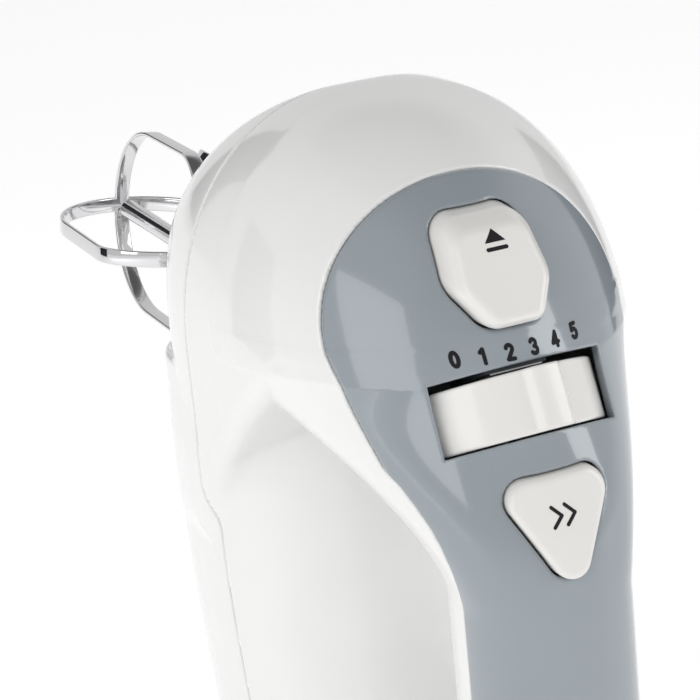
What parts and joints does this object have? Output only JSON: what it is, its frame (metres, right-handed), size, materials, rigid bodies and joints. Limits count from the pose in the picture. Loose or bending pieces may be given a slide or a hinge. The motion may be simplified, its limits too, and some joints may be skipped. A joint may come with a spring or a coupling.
{
  "type": "hand mixer",
  "caption": "Electric hand mixer standing on its heel, with a loop handle, a control panel with eject button, speed dial and boost button, and plug-in beaters turned by a worm drive.",
  "frame": {"origin": "on the rest plane of the flat heel that the mixer stands on, on the plane of symmetry, 33 mm towards the panel from the motor axis", "axes": "+Z from the heel up to the nose, -Y towards the control panel on the handle, +Y towards the beaters, +X to the right of a person facing the control panel"},
  "size_m": [0.094, 0.2139, 0.1936],
  "materials": {
    "white_shell": "glossy moulded white",
    "grey_cover": "glossy blue-grey",
    "white_control": "satin-gloss warm white",
    "black_rubber": "matte",
    "grey_plastic": "matte moulded",
    "dark_plastic": "matte moulded",
    "white_nylon": "satin nylon",
    "chrome": "polished plating",
    "steel": "machined",
    "brass": "machined",
    "copper": "enamelled copper wire",
    "board": "solder mask"
  },
  "bodies": {
    "housing": {"upper_shell": "white_shell", "heel_bridge": "white_shell", "lower_shell": "white_shell", "handle_cover": "grey_cover", "heel_rest": "black_rubber", "cord_gland": "grey_plastic", "case_screws": "steel", "gearbox_frame": "dark_plastic", "stator_core": "steel", "field_coils": "copper", "rear_bearing": "brass", "front_bearing": "brass", "brush_holders": "brass", "carbon_brushes": "dark_plastic", "spindle_bushes": "white_nylon", "dial_bracket": "grey_plastic", "dial_axle": "steel", "detent_spring": "steel", "speed_switch": "dark_plastic", "turbo_switch": "dark_plastic", "circuit_board": "board"},
    "eject": {"eject_button": "white_control", "ejector_bar": "white_nylon", "eject_spring": "steel"},
    "dial": {"speed_dial": "white_control"},
    "turbo": {"turbo_button": "white_control", "turbo_spring": "steel"},
    "armature": {"armature_shaft": "steel", "drive_worm": "steel", "armature_core": "steel", "armature_windings": "copper", "commutator": "copper", "cooling_fan": "white_nylon"},
    "spindle_left": {"spindle_left": "steel", "worm_gear_left": "white_nylon"},
    "plunger_left": {"plunger_left": "white_nylon"},
    "beater_left": {"beater_shaft_left": "chrome", "beater_loops_left": "chrome", "beater_collar_left": "chrome"},
    "spindle_right": {"spindle_right": "steel", "worm_gear_right": "white_nylon"},
    "plunger_right": {"plunger_right": "white_nylon"},
    "beater_right": {"beater_shaft_right": "chrome", "beater_loops_right": "chrome", "beater_collar_right": "chrome"}
  },
  "joints": [
    {"name": "eject_press", "type": "slide", "parent": "housing", "child": "eject", "axis": [0, 1, 0], "range_m": [0, 0.006], "stiffness_N_per_m": 400, "springref_m": -0.004, "deforming": ["eject_spring"]},
    {"name": "turbo_press", "type": "slide", "parent": "housing", "child": "turbo", "axis": [0, 1, 0], "range_m": [0, 0.002], "stiffness_N_per_m": 500, "springref_m": -0.002, "deforming": ["turbo_spring"]},
    {"name": "speed_dial_turn", "type": "hinge", "parent": "housing", "child": "dial", "pos_m": [0, -0.0351, 0.1307], "axis": [0, 0.4226, 0.9063], "range_deg": [-42, 28]},
    {"name": "armature_spin", "type": "hinge", "parent": "housing", "child": "armature", "pos_m": [0, 0.033, 0.07], "axis": [0, 0, 1], "continuous": true},
    {"name": "spindle_left_spin", "type": "hinge", "parent": "housing", "child": "spindle_left", "pos_m": [-0.0175, 0.033, 0.14], "axis": [0, 1, 0], "continuous": true},
    {"name": "plunger_left_push", "type": "slide", "parent": "spindle_left", "child": "plunger_left", "axis": [0, 1, 0], "range_m": [0, 0.006]},
    {"name": "beater_left_pull", "type": "slide", "parent": "plunger_left", "child": "beater_left", "axis": [0, 1, 0], "range_m": [0, 0.045]},
    {"name": "spindle_right_spin", "type": "hinge", "parent": "housing", "child": "spindle_right", "pos_m": [0.0175, 0.033, 0.14], "axis": [0, 1, 0], "continuous": true},
    {"name": "plunger_right_push", "type": "slide", "parent": "spindle_right", "child": "plunger_right", "axis": [0, 1, 0], "range_m": [0, 0.006]},
    {"name": "beater_right_pull", "type": "slide", "parent": "plunger_right", "child": "beater_right", "axis": [0, 1, 0], "range_m": [0, 0.045]}
  ],
  "couplings": [
    {"joint": "spindle_left_spin", "follows": "armature_spin", "ratio": 0.074074},
    {"joint": "spindle_right_spin", "follows": "armature_spin", "ratio": -0.074074},
    {"joint": "plunger_left_push", "follows": "eject_press", "ratio": 1},
    {"joint": "plunger_right_push", "follows": "eject_press", "ratio": 1}
  ]
}
